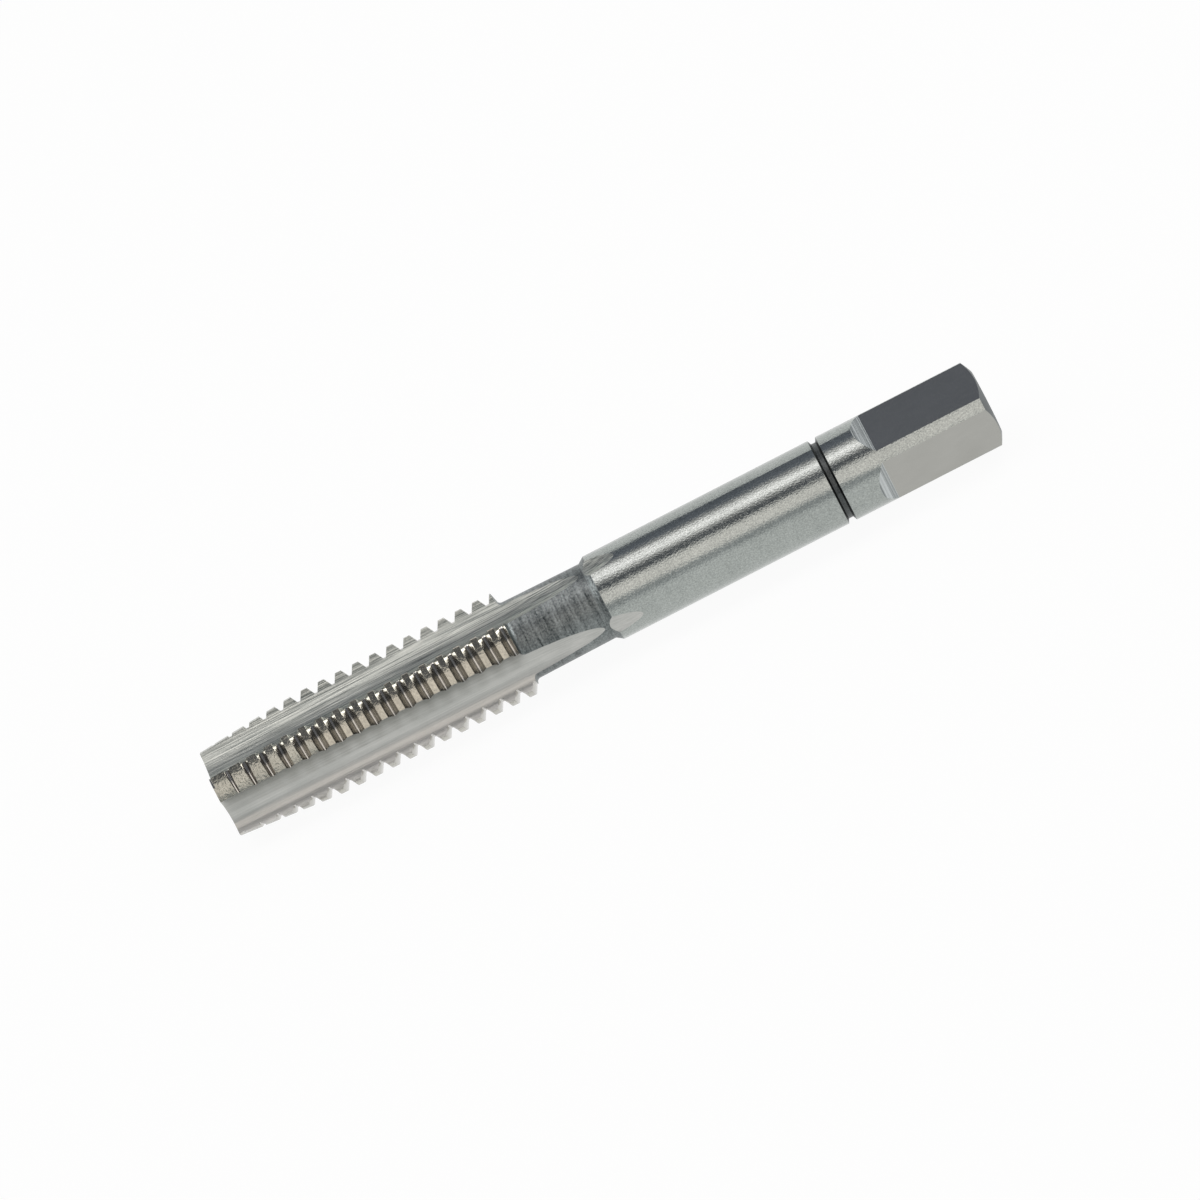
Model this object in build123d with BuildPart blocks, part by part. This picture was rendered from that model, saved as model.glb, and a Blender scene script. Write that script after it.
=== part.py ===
from build123d import *
import os
from math import acos, ceil, cos, degrees, radians, sin, sqrt, tan

# Roughing hand tap of a serial set for an M8 x 1.25 thread, ground from one bar of tool steel.
# It lies at rest along X: the cutting tip points to -X and the driving square to +X.
# All lengths are in millimetres and all angles in degrees.

# Lengths along the tool, measured from the tip
overall_length = 55.8
taper_length = 5.6  # tapered lead, along the cutting edges, before the thread reaches its full diameter
thread_length = 21.65  # tip to the foot of the shoulder behind the thread
neck_end = 27.5  # where the neck starts to climb to the shank
shank_start = 27.95
ring_start = 44.3
square_length = 7.84  # full flats, measured back from the end face

# Thread
pitch = 1.25
thread_diameter = 7.2  # over the crests: undersize, as on the first tap of a set
root_diameter = 6.1
groove_floor = 0.19  # flat at the bottom of the thread groove
flank_angle = 60.0
tip_diameter = 6.28  # over the cutting edges at the tip
lead_relief = 7.0  # behind each cutting edge of the lead, the land falls away by this angle
groove_lead = 1.35  # the thread groove starts this far ahead of the tip, at the top
groove_overcut = 0.25  # how far the groove's cutter stands out of the crests

# Flutes, ground by a wheel whose rim is tight on the cutting face and wide on the heel
flute_count = 4
face_radius = 1.4
heel_radius = 3.2
core_diameter = 4.0  # across the flute floors at the tip
core_rise = 0.016  # the floors climb by this much for each millimetre
flute_straight = 21.2  # tip to where the wheel starts to leave the cut
wheel_radius = 72.0
flute_runout = 12.0  # length of the wheel's way out, past the surface of the shank
flute_lead = 2.0  # the wheel enters this far ahead of the tip
flute_overcut = 0.3  # how far the wheel's rim stands out of the crests at the tip

# Neck
neck_front_diameter = 5.49
neck_rear_diameter = 5.36
shoulder_lean = 15.0  # the shoulder behind the thread leans back from square by this
shoulder_fillet = 0.3

# Shank, with one ring that marks the first tap of the set
shank_diameter = 6.0
ring_width = 0.58
ring_floor = 0.30
ring_depth = 0.30

# Driving square, milled on the end of the shank
square_size = 4.8  # across flats
square_turn = 8.15  # from the middle of a flute's mouth to the middle of the next flat
square_sides = 4
ramp_angle = 34.0  # each flat climbs out to the shank at this slope
mill_clearance = 1.5  # how far the cutter stands out of the shank

# End chamfer behind the square, turned with a slight crown
end_chamfer_length = 0.4
end_face_diameter = 4.4
end_crown_radius = 8.0

# Sizes that follow from those above
crest_radius = thread_diameter / 2
tip_radius = tip_diameter / 2
shank_radius = shank_diameter / 2
neck_front_radius = neck_front_diameter / 2
neck_rear_radius = neck_rear_diameter / 2
groove_side = tan(radians(flank_angle / 2))


def flute_floor(along):
    """Distance from the tool axis to the floor of a flute, this far from the tip."""
    return core_diameter / 2 + core_rise * along


def flute_edge_angle(along, land_radius, rim_radius):
    """Angle from a flute's floor to the edge of a land, this far from the tip."""
    middle = flute_floor(along) + rim_radius
    return degrees(acos((land_radius**2 + middle**2 - rim_radius**2) / (2 * land_radius * middle)))


# The tool lies on its last full crests, on the two lands beside the flute that faces down,
# so the middle of that flute's mouth points straight down.
heel_angle = flute_edge_angle(thread_length, crest_radius, heel_radius)
face_angle = flute_edge_angle(thread_length, crest_radius, face_radius)
flute_turn = (heel_angle - face_angle) / 2
axis_height = crest_radius * cos(radians((heel_angle + face_angle) / 2))
tip = Vector(-overall_length / 2, 0, axis_height)
tool_axis = Axis(tip, (1, 0, 0))


def axial_plane(turn):
    """Plane through the tool axis: x runs from the tip to the square, y points outwards.

    A turn of 0 points up, and a turn of 90 points to the front, -Y.
    """
    return Plane(tip, x_dir=(1, 0, 0), z_dir=(0, -cos(radians(turn)), -sin(radians(turn))))


with BuildPart() as hand_tap:
    # Turned blank: half of its outline, revolved about the tool axis
    shoulder_height = crest_radius - neck_front_radius - shoulder_fillet
    ring_side = (ring_width - ring_floor) / 2
    with BuildSketch(axial_plane(0)):
        with BuildLine():
            Polyline(
                (0, 0),
                (0, tip_radius),
                (taper_length, crest_radius),
                (thread_length - shoulder_height * tan(radians(shoulder_lean)), crest_radius),
                (thread_length, neck_front_radius + shoulder_fillet),
            )
            RadiusArc(
                (thread_length, neck_front_radius + shoulder_fillet),
                (thread_length + shoulder_fillet, neck_front_radius),
                -shoulder_fillet,
            )
            Polyline(
                (thread_length + shoulder_fillet, neck_front_radius),
                (neck_end, neck_rear_radius),
                (shank_start, shank_radius),
                (ring_start, shank_radius),
                (ring_start + ring_side, shank_radius - ring_depth),
                (ring_start + ring_side + ring_floor, shank_radius - ring_depth),
                (ring_start + ring_width, shank_radius),
                (overall_length - end_chamfer_length, shank_radius),
            )
            RadiusArc(
                (overall_length - end_chamfer_length, shank_radius),
                (overall_length, end_face_diameter / 2),
                end_crown_radius,
            )
            Polyline((overall_length, end_face_diameter / 2), (overall_length, 0), (0, 0))
        make_face()
    revolve(axis=tool_axis)

    # Lead relief: the taper of each land is ground about an axis of its own, set off away from
    # the heel. The cut starts in the flute ahead of the land and ends in the flute behind it.
    land_pitch = 360 / flute_count
    edge_turn = flute_turn + flute_edge_angle(taper_length, crest_radius, face_radius)
    relief_offset = tip_radius * tan(radians(lead_relief))
    relief_start = sqrt(tip_radius**2 + relief_offset**2)
    relief_height = crest_radius + 2 * relief_offset
    lead_slope = (crest_radius - tip_radius) / taper_length
    for land in range(flute_count):
        relief_centre = tip - axial_plane(edge_turn + land * land_pitch).z_dir * relief_offset
        cut_direction = axial_plane(flute_turn + land * land_pitch).z_dir
        with BuildSketch(Plane(relief_centre, x_dir=(1, 0, 0), z_dir=cut_direction)):
            with BuildLine():
                Polyline(
                    (-flute_lead, relief_start - lead_slope * flute_lead),
                    ((relief_height - relief_start) / lead_slope, relief_height),
                    (-flute_lead, relief_height),
                    close=True,
                )
            make_face()
        revolve(axis=Axis(relief_centre, (1, 0, 0)), revolution_arc=land_pitch, mode=Mode.SUBTRACT)

    # Flutes: the wheel runs straight along the rising core, then leaves on its own radius
    rim_height = crest_radius + flute_overcut - core_diameter / 2
    heel_reach = sqrt(heel_radius**2 - (heel_radius - rim_height) ** 2)
    for flute in range(flute_count):
        flute_plane = axial_plane(flute_turn + flute * land_pitch)
        with BuildLine(flute_plane) as flute_path:
            wheel_in = Line(
                (-flute_lead, flute_floor(-flute_lead)),
                (flute_straight, flute_floor(flute_straight)),
            )
            JernArc(wheel_in @ 1, wheel_in % 1, wheel_radius, degrees(flute_runout / wheel_radius))
        with BuildSketch(Plane(wheel_in @ 0, x_dir=flute_plane.z_dir, z_dir=-(wheel_in % 0))):
            with BuildLine():
                RadiusArc((-heel_reach, rim_height), (0, 0), -heel_radius)
                RadiusArc((0, 0), (face_radius, face_radius), -face_radius)
                Polyline((face_radius, face_radius), (face_radius, rim_height), (-heel_reach, rim_height))
            make_face()
        sweep(path=flute_path.line, mode=Mode.SUBTRACT)

    # Thread: one right-hand groove, from ahead of the tip to over the neck.
    # It is cut turn by turn, and each turn starts and ends inside the flute that faces up.
    groove_depth = crest_radius + groove_overcut - root_diameter / 2
    groove_turns = ceil((groove_lead + thread_length) / pitch) + 1
    for turn in range(groove_turns):
        turn_start = tip + Vector(turn * pitch - groove_lead, 0, 0)
        with BuildLine() as groove_path:
            Helix(pitch, pitch, root_diameter / 2, center=turn_start, direction=(1, 0, 0))
        with BuildSketch(Plane(groove_path.line @ 0, x_dir=(1, 0, 0), z_dir=(0, -1, 0))):
            with BuildLine():
                Polyline(
                    (-groove_floor / 2, 0),
                    (groove_floor / 2, 0),
                    (groove_floor / 2 + groove_depth * groove_side, groove_depth),
                    (-groove_floor / 2 - groove_depth * groove_side, groove_depth),
                    close=True,
                )
            make_face()
        sweep(path=groove_path.line, is_frenet=True, mode=Mode.SUBTRACT)

    # Driving square: each flat ends in a straight ramp up to the shank
    flat_start = overall_length - square_length
    flat_height = square_size / 2
    mill_top = shank_radius + mill_clearance
    ramp_reach = (mill_top - flat_height) / tan(radians(ramp_angle))
    for side in range(square_sides):
        with BuildSketch(axial_plane(square_turn + side * 360 / square_sides)):
            with BuildLine():
                Polyline(
                    (flat_start - ramp_reach, mill_top),
                    (flat_start, flat_height),
                    (overall_length + mill_clearance, flat_height),
                    (overall_length + mill_clearance, mill_top),
                    close=True,
                )
            make_face()
        extrude(amount=shank_radius, both=True, mode=Mode.SUBTRACT)

hand_tap.part.label = "hand_tap"

os.makedirs("parts", exist_ok=True)
export_step(hand_tap.part, "parts/hand_tap.step")
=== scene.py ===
import math
import bpy
from mathutils import Matrix, Vector

# Hand tap for an M8 x 1.25 thread, lying on a pale table.
# Lengths in the dictionaries are in millimetres, and angles in degrees.
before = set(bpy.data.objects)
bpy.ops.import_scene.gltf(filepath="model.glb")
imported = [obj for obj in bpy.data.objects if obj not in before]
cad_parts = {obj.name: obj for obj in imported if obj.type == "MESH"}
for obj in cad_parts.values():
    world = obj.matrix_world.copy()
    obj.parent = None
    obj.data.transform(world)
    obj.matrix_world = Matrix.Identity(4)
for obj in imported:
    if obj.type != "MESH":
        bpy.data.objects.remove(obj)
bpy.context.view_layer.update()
mm = 0.001

tap = {
    "axisHeight": 3.195,  # tool axis above the table
    "threadEnd": -6.25,  # along X, tip to the left: foot of the shoulder behind the thread
    "shankStart": 0.05,
    "ringStart": 16.4,
    "ringEnd": 16.98,
    "squareStart": 20.06,  # full flats from here on
    "shankEnd": 27.5,  # start of the end chamfer
    "crestRadius": 3.6,
    "shankRadius": 3.0,
    "fluteRadius": 2.85,  # every flute reaches inside this, and no thread groove does
    "rootRadius": 3.05,  # from the axis to the bottom of the thread groove
    "pitch": 1.25,
    "grooveStart": -29.25,  # where the groove's middle passes the top of the tool, ahead of the tip
    "rootRounding": 0.165,  # radius of the groove's rounded bottom
    "edgeTurn": 28.3,  # degrees from straight up to a cutting edge, to the front
    "edgeRelief": 7.5,  # degrees by which a full crest falls away right behind its cutting edge
    "reliefWidth": 15.0,  # degrees behind the edge at which that slope has faded out
    "flutes": 4,
    # The flute that faces up also gets darker tones: painted shade
    "topFlute": 35.0,  # the flute within this many degrees of straight up has the coarse lines
}


def linear(hexColour):
    # sRGB hex to the linear values that the shader sockets take
    levels = [int(hexColour[start:start + 2], 16) / 255 for start in (1, 3, 5)]
    return tuple(
        level / 12.92 if level <= 0.04045 else ((level + 0.055) / 1.055) ** 2.4 for level in levels
    ) + (1.0,)


def newMaterial(name):
    material = bpy.data.materials.new(name)
    material.use_nodes = True
    material.node_tree.nodes.clear()
    return material


def addNode(material, kind, settings=None, values=None, links=None):
    # One node with its settings, socket values and incoming links
    tree = material.node_tree
    node = tree.nodes.new(kind)
    for key, value in (settings or {}).items():
        setattr(node, key, value)
    for key, value in (values or {}).items():
        node.inputs[key].default_value = value
    for key, source in (links or {}).items():
        tree.links.new(source, node.inputs[key])
    return node


def turnAt(material, point):
    # Turn round the tool axis, in radians: 0 is straight up and a quarter turn points to the front
    rise = addNode(
        material, "ShaderNodeMath", {"operation": "SUBTRACT"}, {1: tap["axisHeight"] * mm},
        {0: point.outputs["Z"]},
    )
    front = addNode(
        material, "ShaderNodeMath", {"operation": "MULTIPLY"}, {1: -1.0}, {0: point.outputs["Y"]}
    )
    return addNode(
        material, "ShaderNodeMath", {"operation": "ARCTAN2"}, {},
        {0: front.outputs[0], 1: rise.outputs[0]},
    )


def crestHeight(material, point):
    # The relief ground behind a cutting edge, in metres: steepest at the edge, and soon faded out
    past = turnAt(material, point)
    steps = [
        ("SUBTRACT", math.radians(tap["edgeTurn"])),
        ("WRAP", 2 * math.pi / tap["flutes"], 0.0),
        ("MINIMUM", math.radians(tap["reliefWidth"])),
    ]
    for operation, *numbers in steps:
        past = addNode(
            material, "ShaderNodeMath", {"operation": operation}, dict(enumerate(numbers, 1)),
            {0: past.outputs[0]},
        )
    fade = addNode(
        material, "ShaderNodeMath", {"operation": "MULTIPLY"},
        {1: -tap["edgeRelief"] / tap["reliefWidth"] / 2}, {0: past.outputs[0]},
    )
    slope = addNode(
        material, "ShaderNodeMath", {"operation": "ADD"}, {1: math.radians(tap["edgeRelief"])},
        {0: fade.outputs[0]},
    )
    fall = addNode(
        material, "ShaderNodeMath", {"operation": "MULTIPLY"}, {},
        {0: past.outputs[0], 1: slope.outputs[0]},
    )
    return addNode(
        material, "ShaderNodeMath", {"operation": "MULTIPLY"}, {1: -tap["crestRadius"] * mm},
        {0: fall.outputs[0]},
    )


def rootHeight(material, point):
    # The rounded bottom of the thread groove, in metres, across its flat floor, with the same relief
    climb = addNode(
        material, "ShaderNodeMath", {"operation": "MULTIPLY"}, {1: -tap["pitch"] * mm / (2 * math.pi)},
        {0: turnAt(material, point).outputs[0]},
    )
    ahead = addNode(
        material, "ShaderNodeMath", {"operation": "SUBTRACT"}, {1: tap["grooveStart"] * mm},
        {0: point.outputs["X"]},
    )
    along = addNode(
        material, "ShaderNodeMath", {"operation": "ADD"}, {}, {0: ahead.outputs[0], 1: climb.outputs[0]}
    )
    across = addNode(
        material, "ShaderNodeMath", {"operation": "WRAP"},
        {1: tap["pitch"] / 2 * mm, 2: -tap["pitch"] / 2 * mm}, {0: along.outputs[0]},
    )
    square = addNode(
        material, "ShaderNodeMath", {"operation": "MULTIPLY"}, {},
        {0: across.outputs[0], 1: across.outputs[0]},
    )
    rounded = addNode(
        material, "ShaderNodeMath", {"operation": "MULTIPLY"}, {1: 1 / (2 * tap["rootRounding"] * mm)},
        {0: square.outputs[0]},
    )
    return addNode(
        material, "ShaderNodeMath", {"operation": "ADD"}, {},
        {0: rounded.outputs[0], 1: crestHeight(material, point).outputs[0]},
    )


shapes = {"crest": crestHeight, "root": rootHeight}


# What the noises of every finish share: the levels that they mostly stay between, the number of
# finer octaves and how much of them shows
noise = {
    "low": 0.3, "high": 0.7, "lineFine": 0.6, "grainFine": 0.6, "patchFine": 0.5,
    "grainDetail": 2.0, "patchDetail": 3.0,
}


def steel(name, look):
    # Bare tool steel. Lines run along or across the tool, a fine grain lies over them,
    # and slow patches keep the tone from being the same all over.
    material = newMaterial(name)
    place = addNode(material, "ShaderNodeTexCoord").outputs["Object"]
    lineScale = [1.0 / (size * mm) for size in look["line"]]
    lines = addNode(material, "ShaderNodeMapping", {}, {"Scale": lineScale}, {"Vector": place})
    lineNoise = addNode(
        material, "ShaderNodeTexNoise", {},
        {"Scale": 1.0, "Detail": look["lineDetail"], "Roughness": noise["lineFine"]},
        {"Vector": lines.outputs[0]},
    )
    grain = addNode(
        material, "ShaderNodeTexNoise", {},
        {"Scale": 1.0 / (look["grain"] * mm), "Detail": noise["grainDetail"],
         "Roughness": noise["grainFine"]},
        {"Vector": place},
    )
    patches = addNode(
        material, "ShaderNodeTexNoise", {},
        {"Scale": 1.0 / (look["patch"] * mm), "Detail": noise["patchDetail"],
         "Roughness": noise["patchFine"]},
        {"Vector": place},
    )
    tone = addNode(
        material, "ShaderNodeMix", {"data_type": "FLOAT"}, {0: look["lineShare"]},
        {2: patches.outputs["Fac"], 3: lineNoise.outputs["Fac"]},
    )
    speckledTone = addNode(
        material, "ShaderNodeMix", {"data_type": "FLOAT"}, {0: look["grainShare"]},
        {2: tone.outputs[0], 3: grain.outputs["Fac"]},
    )
    colour = addNode(material, "ShaderNodeValToRGB", links={"Fac": speckledTone.outputs[0]})
    for element, (position, hexColour) in zip(colour.color_ramp.elements, look["tones"]):
        element.position = position
        element.color = linear(hexColour)
    rough = addNode(
        material, "ShaderNodeMapRange", {},
        {"From Min": noise["low"], "From Max": noise["high"],
         "To Min": look["roughness"][0], "To Max": look["roughness"][1]},
        {"Value": lineNoise.outputs["Fac"]},
    )
    lineBump = addNode(
        material, "ShaderNodeBump", {}, {"Strength": 1.0, "Distance": look["lineHeight"] * mm},
        {"Height": lineNoise.outputs["Fac"]},
    )
    grainBump = addNode(
        material, "ShaderNodeBump", {}, {"Strength": 1.0, "Distance": look["grainHeight"] * mm},
        {"Height": grain.outputs["Fac"], "Normal": lineBump.outputs["Normal"]},
    )
    finish = grainBump
    if "shape" in look:
        point = addNode(material, "ShaderNodeSeparateXYZ", links={0: place})
        finish = addNode(
            material, "ShaderNodeBump", {}, {"Strength": 1.0, "Distance": 1.0},
            {"Height": shapes[look["shape"]](material, point).outputs[0],
             "Normal": grainBump.outputs["Normal"]},
        )
    surface = addNode(
        material, "ShaderNodeBsdfPrincipled", {}, {"Metallic": 1.0},
        {"Base Color": colour.outputs["Color"], "Roughness": rough.outputs["Result"],
         "Normal": finish.outputs["Normal"]},
    )
    addNode(material, "ShaderNodeOutputMaterial", links={"Surface": surface.outputs["BSDF"]})
    return material


# Every finish is bare tool steel. Lines, grain and patches are cells of noise with real sizes: a line's
# are given along X, Y and Z, so it runs along the tool where the first is long and round it where the
# first is short. Grit and tool tips leave finer marks than a picture shows, so lines and grain are
# drawn as coarse as they need to show. Heights are those of the bumps.
looks = {
    # Steel ground along the flute that faces up: satin, with fine light and dark lines, and darker
    # tones that are painted shade
    "coarseFlutePaintedShade": {
        "line": (14.286, 0.0909, 0.0909), "lineDetail": 2.0, "lineShare": 0.9,
        "grain": 0.12, "grainShare": 0.1, "patch": 3.0, "roughness": (0.3, 0.4),
        "tones": [(0.34, "#6a706d"), (0.66, "#cbcec6")],
        "lineHeight": 0.022, "grainHeight": 0.004,
    },
    # Steel ground along the other flutes: an even pale satin, with hardly any lines
    "groundFlute": {
        "line": (14.286, 0.0909, 0.0909), "lineDetail": 2.0, "lineShare": 0.6,
        "grain": 0.12, "grainShare": 0.1, "patch": 3.0, "roughness": (0.32, 0.4),
        "tones": [(0.3, "#a2a4a0"), (0.7, "#c6c6c2")],
        "lineHeight": 0.01, "grainHeight": 0.004,
    },
    # Steel ground by the thread wheel: bright, and mirrors the flank that faces it
    "groundFlank": {
        "line": (0.16667, 1.1111, 1.1111), "lineDetail": 3.0, "lineShare": 0.3,
        "grain": 0.12, "grainShare": 0.3, "patch": 1.0, "roughness": (0.12, 0.18),
        "tones": [(0.3, "#aaa8a2"), (0.7, "#bfbdb6")],
        "lineHeight": 0.002, "grainHeight": 0.006,
    },
    # Steel ground by the rounded edge of that wheel: bright, and gathers the light into a thin line
    "groundRoot": {
        "line": (0.16667, 1.1111, 1.1111), "lineDetail": 3.0, "lineShare": 0.3,
        "grain": 0.12, "grainShare": 0.3, "patch": 1.0, "roughness": (0.12, 0.18),
        "tones": [(0.3, "#aaa8a2"), (0.7, "#bfbdb6")],
        "lineHeight": 0.001, "grainHeight": 0.002, "shape": "root",
    },
    # Steel ground on the outside and relieved: bright, dark near the cutting edge
    "groundCrest": {
        "line": (0.16667, 1.1111, 1.1111), "lineDetail": 3.0, "lineShare": 0.3,
        "grain": 0.16, "grainShare": 0.5, "patch": 1.0, "roughness": (0.12, 0.18),
        "tones": [(0.3, "#918f85"), (0.7, "#b6b3a6")],
        "lineHeight": 0.002, "grainHeight": 0.014, "shape": "crest",
    },
    # Steel ground on the taper: a little greyer and grainier than the crests
    "groundLead": {
        "line": (0.16667, 1.1111, 1.1111), "lineDetail": 3.0, "lineShare": 0.3,
        "grain": 0.17, "grainShare": 0.5, "patch": 1.0, "roughness": (0.14, 0.2),
        "tones": [(0.3, "#8c8c83"), (0.7, "#b0b0a6")],
        "lineHeight": 0.002, "grainHeight": 0.02,
    },
    # Steel turned and hardened: dark, with rings from the tool tip
    "turnedNeck": {
        "line": (0.1923, 3.8462, 3.8462), "lineDetail": 4.0, "lineShare": 0.75,
        "grain": 0.14, "grainShare": 0.4, "patch": 1.5, "roughness": (0.36, 0.46),
        "tones": [(0.34, "#363c3d"), (0.66, "#999f9e")],
        "lineHeight": 0.045, "grainHeight": 0.025,
    },
    # Steel ground between centres: clear bands of light with a fine speckle
    "groundShank": {
        "line": (0.2857, 1.1111, 1.1111), "lineDetail": 3.0, "lineShare": 0.4,
        "grain": 0.11, "grainShare": 0.7, "patch": 4.0, "roughness": (0.1, 0.14),
        "tones": [(0.3, "#868b88"), (0.7, "#b3b8b4")],
        "lineHeight": 0.002, "grainHeight": 0.014,
    },
    # Steel milled flat: smooth and even, one tone to each flat
    "milledSquare": {
        "line": (1.1111, 0.3333, 0.3333), "lineDetail": 2.0, "lineShare": 0.3,
        "grain": 0.12, "grainShare": 0.1, "patch": 2.5, "roughness": (0.12, 0.16),
        "tones": [(0.3, "#a2a29d"), (0.7, "#a9a9a4")],
        "lineHeight": 0.0005, "grainHeight": 0.001,
    },
    # Steel left by the cutter's corner: light and dark lines straight across
    "milledRamp": {
        "line": (0.13333, 16.667, 16.667), "lineDetail": 2.0, "lineShare": 0.9,
        "grain": 0.1, "grainShare": 0.1, "patch": 2.0, "roughness": (0.24, 0.3),
        "tones": [(0.34, "#747979"), (0.66, "#c6cbcb")],
        "lineHeight": 0.03, "grainHeight": 0.002,
    },
    # Steel turned with a narrow tool: a near-black line
    "turnedRing": {
        "line": (0.14286, 5.0, 5.0), "lineDetail": 2.0, "lineShare": 0.6,
        "grain": 0.14, "grainShare": 0.4, "patch": 1.5, "roughness": (0.35, 0.5),
        "tones": [(0.3, "#303334"), (0.7, "#676b6a")],
        "lineHeight": 0.01, "grainHeight": 0.01,
    },
    # Steel turned off at the ends: dull and darker than the flats
    "turnedEnd": {
        "line": (0.6667, 0.6667, 0.6667), "lineDetail": 3.0, "lineShare": 0.4,
        "grain": 0.14, "grainShare": 0.3, "patch": 1.5, "roughness": (0.3, 0.4),
        "tones": [(0.3, "#565a5b"), (0.7, "#767a7a")],
        "lineHeight": 0.004, "grainHeight": 0.006,
    },
}
finishNames = list(looks)


def surfacesOf(mesh):
    # The faces in groups that share corners: one group for each surface of the solid
    leader = list(range(len(mesh.vertices)))

    def first(corner):
        while leader[corner] != corner:
            leader[corner] = leader[leader[corner]]
            corner = leader[corner]
        return corner

    for face in mesh.polygons:
        for corner in face.vertices[1:]:
            leader[first(corner)] = first(face.vertices[0])
    groups = {}
    for face in mesh.polygons:
        groups.setdefault(first(face.vertices[0]), []).append(face)
    return groups.values()


# Bounds that tell the surfaces apart. A lean of 1 faces the square, and of -1 the tip.
sorting = {
    "near": 0.02,  # millimetres
    "neckMargin": 0.2,  # millimetres that the neck's surfaces may reach into the shoulder
    "endLean": 0.99,
    "rampLean": 0.3,
    "flankLean": 0.3,
    "stepLean": -0.3,
    "neckLean": 0.003,
    "rootLean": 0.1,
}


def finishOf(mesh, faces):
    # Which finish a surface has, by its reach along the tool and from the axis (millimetres)
    corners = [mesh.vertices[index].co / mm for face in faces for index in face.vertices]
    radii = [math.hypot(corner.y, corner.z - tap["axisHeight"]) for corner in corners]
    start, end = min(corner.x for corner in corners), max(corner.x for corner in corners)
    area = sum(face.area for face in faces)
    lean = sum(face.normal.x * face.area for face in faces) / area
    middle = sum(corners, Vector()) / len(corners)
    turn = math.degrees(math.atan2(-middle.y, middle.z - tap["axisHeight"]))
    near = sorting["near"]
    if abs(lean) > sorting["endLean"] or start > tap["shankEnd"] - near:
        return "turnedEnd"
    if start > tap["ringStart"] - near and end < tap["ringEnd"] + near:
        return "turnedRing"
    if start > tap["squareStart"] - near:
        return "milledSquare"
    if lean > sorting["rampLean"] and start > tap["ringEnd"]:
        return "milledRamp"
    if min(radii) > tap["shankRadius"] - near and start > tap["shankStart"] - near:
        return "groundShank"
    onNeck = lean > sorting["neckLean"] or lean < sorting["stepLean"]
    if onNeck and start > tap["threadEnd"] - sorting["neckMargin"]:
        return "turnedNeck"
    if min(radii) < tap["fluteRadius"]:
        # The flute that faces up gets the copy with coarse lines and darker tones, painted shade
        return "coarseFlutePaintedShade" if abs(turn) < tap["topFlute"] else "groundFlute"
    if max(radii) < tap["rootRadius"] + near and abs(lean) < sorting["rootLean"]:
        return "groundRoot"
    if abs(lean) > sorting["flankLean"]:
        return "groundFlank"
    return "groundCrest" if min(radii) > tap["crestRadius"] - near else "groundLead"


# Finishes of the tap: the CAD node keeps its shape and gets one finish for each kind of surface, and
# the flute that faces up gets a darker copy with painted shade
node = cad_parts["hand_tap"]
node.data.materials.clear()
for finishName in finishNames:
    node.data.materials.append(steel(finishName, looks[finishName]))
tally = dict.fromkeys(finishNames, 0)
for faces in surfacesOf(node.data):
    finish = finishOf(node.data, faces)
    tally[finish] += 1
    for face in faces:
        face.material_index = finishNames.index(finish)
print("surfaces by finish:", tally)

# Table and white room. The camera and reflections see white; the table keeps a soft shadow.
studio = {
    "tableSize": 4000.0,
    "tableColour": "#e9e9e7",
    "tableWhite": 0.94,  # share of plain white that the camera sees in the table
    "roomLight": 0.55,  # share of white that the room gives to all that isn't a mirror
}


def seenRay(material):
    # 1 for the rays that show the background (straight from the camera, mirrored or let through),
    # and 0 for those that light the tap and the table
    path = addNode(material, "ShaderNodeLightPath")
    pair = addNode(
        material, "ShaderNodeMath", {"operation": "MAXIMUM"},
        links={0: path.outputs["Is Camera Ray"], 1: path.outputs["Is Glossy Ray"]},
    )
    every = addNode(
        material, "ShaderNodeMath", {"operation": "MAXIMUM"},
        links={0: pair.outputs[0], 1: path.outputs["Is Transmission Ray"]},
    )
    return every.outputs[0]


bpy.ops.object.select_all(action="DESELECT")
bpy.ops.mesh.primitive_plane_add(size=studio["tableSize"] * mm, location=(0, 0, 0))
table = bpy.context.object
table.name = "table"
paper = newMaterial("matt white paper")
matt = addNode(paper, "ShaderNodeBsdfDiffuse", {}, {"Color": linear(studio["tableColour"])})
white = addNode(paper, "ShaderNodeEmission", {}, {"Color": linear("#ffffff"), "Strength": 1.0})
share = addNode(
    paper, "ShaderNodeMath", {"operation": "MULTIPLY"}, {1: studio["tableWhite"]}, {0: seenRay(paper)}
)
mixed = addNode(
    paper, "ShaderNodeMixShader", {}, {}, {0: share.outputs[0], 1: matt.outputs[0], 2: white.outputs[0]}
)
addNode(paper, "ShaderNodeOutputMaterial", links={"Surface": mixed.outputs[0]})
table.data.materials.append(paper)

world = bpy.data.worlds.new("white room")
bpy.context.scene.world = world
world.use_nodes = True
world.node_tree.nodes.clear()
roomLevel = addNode(
    world, "ShaderNodeMapRange", {}, {"To Min": studio["roomLight"], "To Max": 1.0},
    {"Value": seenRay(world)},
)
room = addNode(
    world, "ShaderNodeBackground", {}, {"Color": linear("#ffffff")}, {"Strength": roomLevel.outputs[0]}
)
addNode(world, "ShaderNodeOutputWorld", links={"Surface": room.outputs[0]})

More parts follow.
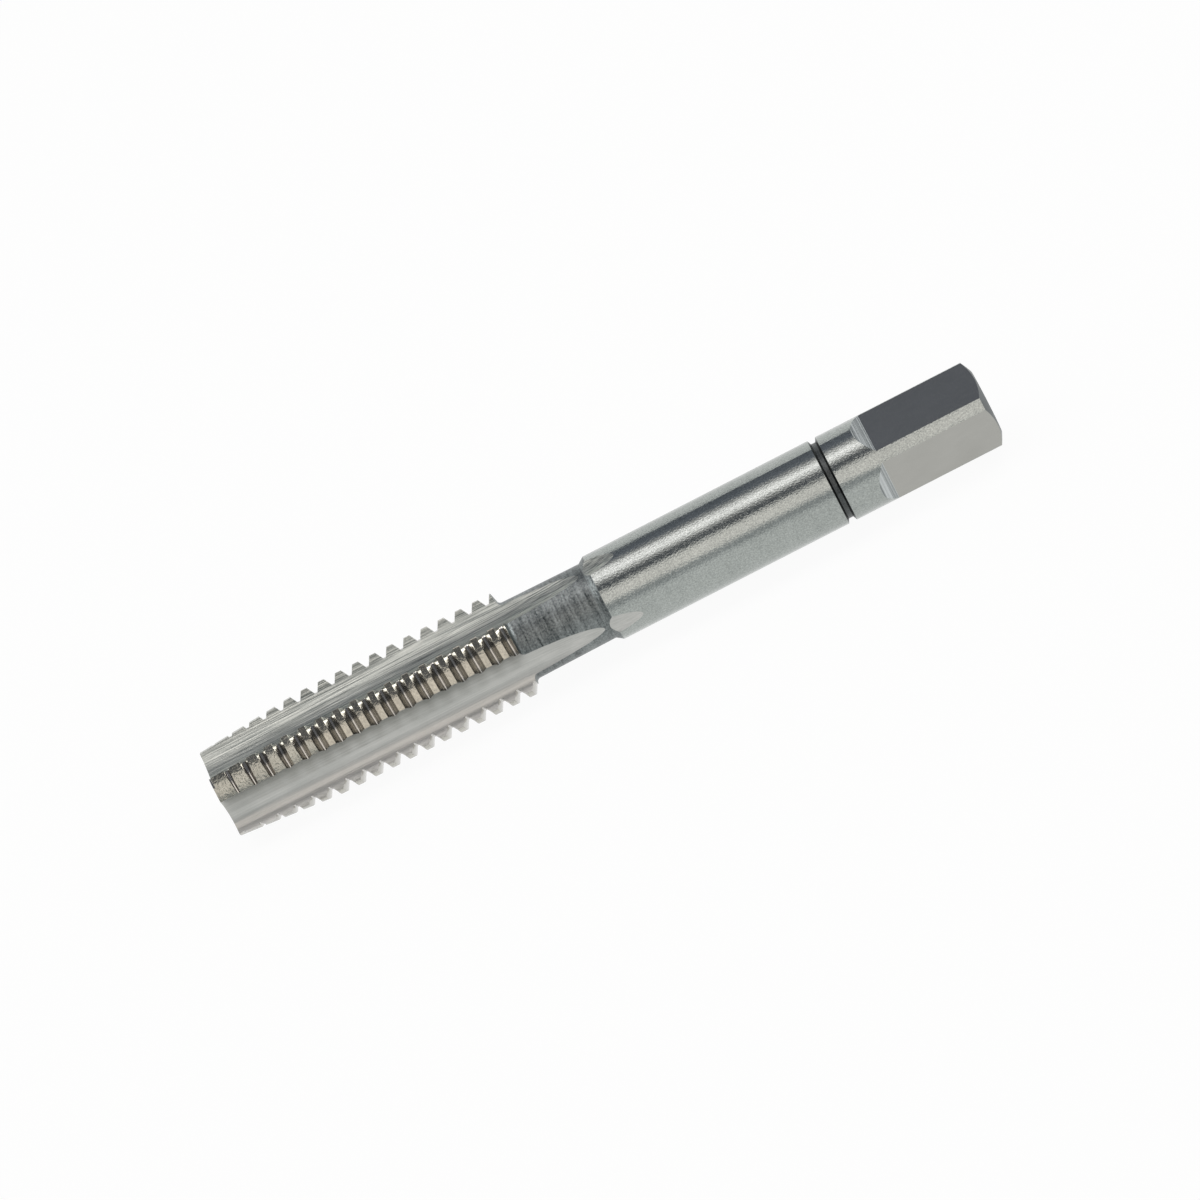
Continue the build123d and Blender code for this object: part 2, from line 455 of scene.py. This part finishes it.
# Panels stand round the tool axis: 0 degrees is the horizon in front, 90 overhead, 180 the horizon
# behind. Only reflections see them. Light changes evenly from the first edge to the second, where 1
# is white.
panels = {
    "front strip": {
        "from": 0.6, "to": 18.5, "light": (0.62, 0.56), "colour": "#f4f7fa", "along": (-170, 170),
    },
    "front fill": {
        "from": 20.0, "to": 52.5, "light": (1.38, 1.38), "colour": "#fff8f4", "along": (-170, 170),
    },
    "front flag": {"from": 53.5, "to": 70.0, "light": (0.17, 0.2), "colour": "#ebf1ff"},
    "box front edge": {"from": 70.0, "to": 86.0, "light": (0.25, 1.9), "colour": "#fffafa"},
    "overhead box": {"from": 86.0, "to": 96.0, "light": (2.45, 2.45), "colour": "#fff9fa"},
    "box back edge": {"from": 96.0, "to": 112.0, "light": (1.7, 0.36), "colour": "#fffafa"},
    "back flag": {"from": 112.0, "to": 146.0, "light": (0.34, 0.19), "colour": "#e7eeff"},
    "left box": {"from": 78.0, "to": 106.0, "light": (9.0, 9.0), "along": (-600, -335), "reach": 325},
    "right box": {"from": 78.0, "to": 106.0, "light": (9.0, 9.0), "along": (335, 600), "reach": 325},
    "left card": {"from": 1.0, "to": 68.0, "light": (0.05, 0.05), "along": (-800, -160), "reach": 325},
    "right card": {"from": 1.0, "to": 68.0, "light": (0.05, 0.05), "along": (160, 800), "reach": 325},
}
panelDefaults = {"colour": "#ffffff", "along": (-800, 800), "reach": 350.0}


def placeAt(thing, angle, reach, along=0.0):
    # Stands a panel or lamp at an angle round the tool axis, facing it
    turn = math.radians(angle)
    rise = tap["axisHeight"] + reach * math.sin(turn)
    thing.location = (along * mm, -reach * math.cos(turn) * mm, rise * mm)
    thing.rotation_euler = (math.radians(90) - turn, 0, 0)


def addPanel(name, panel):
    reach = panel["reach"]
    left, right = panel["along"]
    half = math.radians(panel["to"] - panel["from"]) / 2
    bpy.ops.object.select_all(action="DESELECT")
    bpy.ops.mesh.primitive_plane_add(size=1.0)
    sheet = bpy.context.object
    sheet.name = name
    sheet.scale = ((right - left) * mm, 2 * reach * math.tan(half) * mm, 1.0)
    placeAt(sheet, (panel["from"] + panel["to"]) / 2, reach, (left + right) / 2)
    glow = newMaterial(name)
    place = addNode(
        glow, "ShaderNodeSeparateXYZ", links={0: addNode(glow, "ShaderNodeTexCoord").outputs["Object"]}
    )
    # The sheet's own Y runs from -0.5 at the first edge to 0.5 at the second
    level = addNode(
        glow, "ShaderNodeMapRange", {},
        {"From Min": -0.5, "From Max": 0.5, "To Min": panel["light"][0], "To Max": panel["light"][1]},
        {"Value": place.outputs["Y"]},
    )
    light = addNode(
        glow, "ShaderNodeEmission", {}, {"Color": linear(panel["colour"])},
        {"Strength": level.outputs["Result"]},
    )
    addNode(glow, "ShaderNodeOutputMaterial", links={"Surface": light.outputs[0]})
    sheet.data.materials.append(glow)
    sheet.visible_camera = False
    sheet.visible_diffuse = False
    sheet.visible_shadow = False


for name, panel in panels.items():
    addPanel(name, {**panelDefaults, **panel})

# Overhead lamp: it lights the table and draws the soft shadow
overhead = {"angle": 94.0, "reach": 340.0, "width": 142.0, "length": 1400.0, "power": 1.3}
lamp = bpy.data.lights.new("overhead lamp", "AREA")
lamp.shape = "RECTANGLE"
lamp.size = overhead["length"] * mm
lamp.size_y = overhead["width"] * mm
lamp.energy = overhead["power"]
lampObject = bpy.data.objects.new("overhead lamp", lamp)
bpy.context.scene.collection.objects.link(lampObject)
placeAt(lampObject, overhead["angle"], overhead["reach"])
lampObject.visible_camera = False
lampObject.visible_glossy = False
print("studio: table, room, panels and overhead lamp")

# Camera: long lens from the front and above, rolled so that the tap rises to the right.
# Along and drop move its aim off the middle of the tool axis.
shot = {
    "azimuth": 2.56, "elevation": 37.6, "roll": 28.72, "distance": 440.5, "frameWidth": 77.79,
    "along": -0.227, "drop": 0.03258, "sensor": 36.0, "nearest": 10.0, "farthest": 10000.0,
}
azimuth, elevation, roll = (math.radians(shot[turn]) for turn in ("azimuth", "elevation", "roll"))
level = math.cos(elevation)
back = Vector((math.sin(azimuth) * level, -math.cos(azimuth) * level, math.sin(elevation)))
right = Vector((math.cos(azimuth), math.sin(azimuth), 0))
up = back.cross(right)
camera = bpy.data.objects.new("camera", bpy.data.cameras.new("camera"))
bpy.context.scene.collection.objects.link(camera)
camera.data.sensor_width = shot["sensor"]
camera.data.lens = shot["sensor"] * shot["distance"] / shot["frameWidth"]
camera.data.clip_start, camera.data.clip_end = shot["nearest"] * mm, shot["farthest"] * mm
cameraRight = right * math.cos(roll) - up * math.sin(roll)
cameraUp = up * math.cos(roll) + right * math.sin(roll)
target = Vector((shot["along"], 0, tap["axisHeight"])) - up * shot["drop"]
camera.matrix_world = Matrix.Translation((target + back * shot["distance"]) * mm) @ Matrix(
    (cameraRight, cameraUp, back)
).transposed().to_4x4()
bpy.context.scene.camera = camera
bpy.context.scene.view_settings.view_transform = "Standard"
print("camera set")
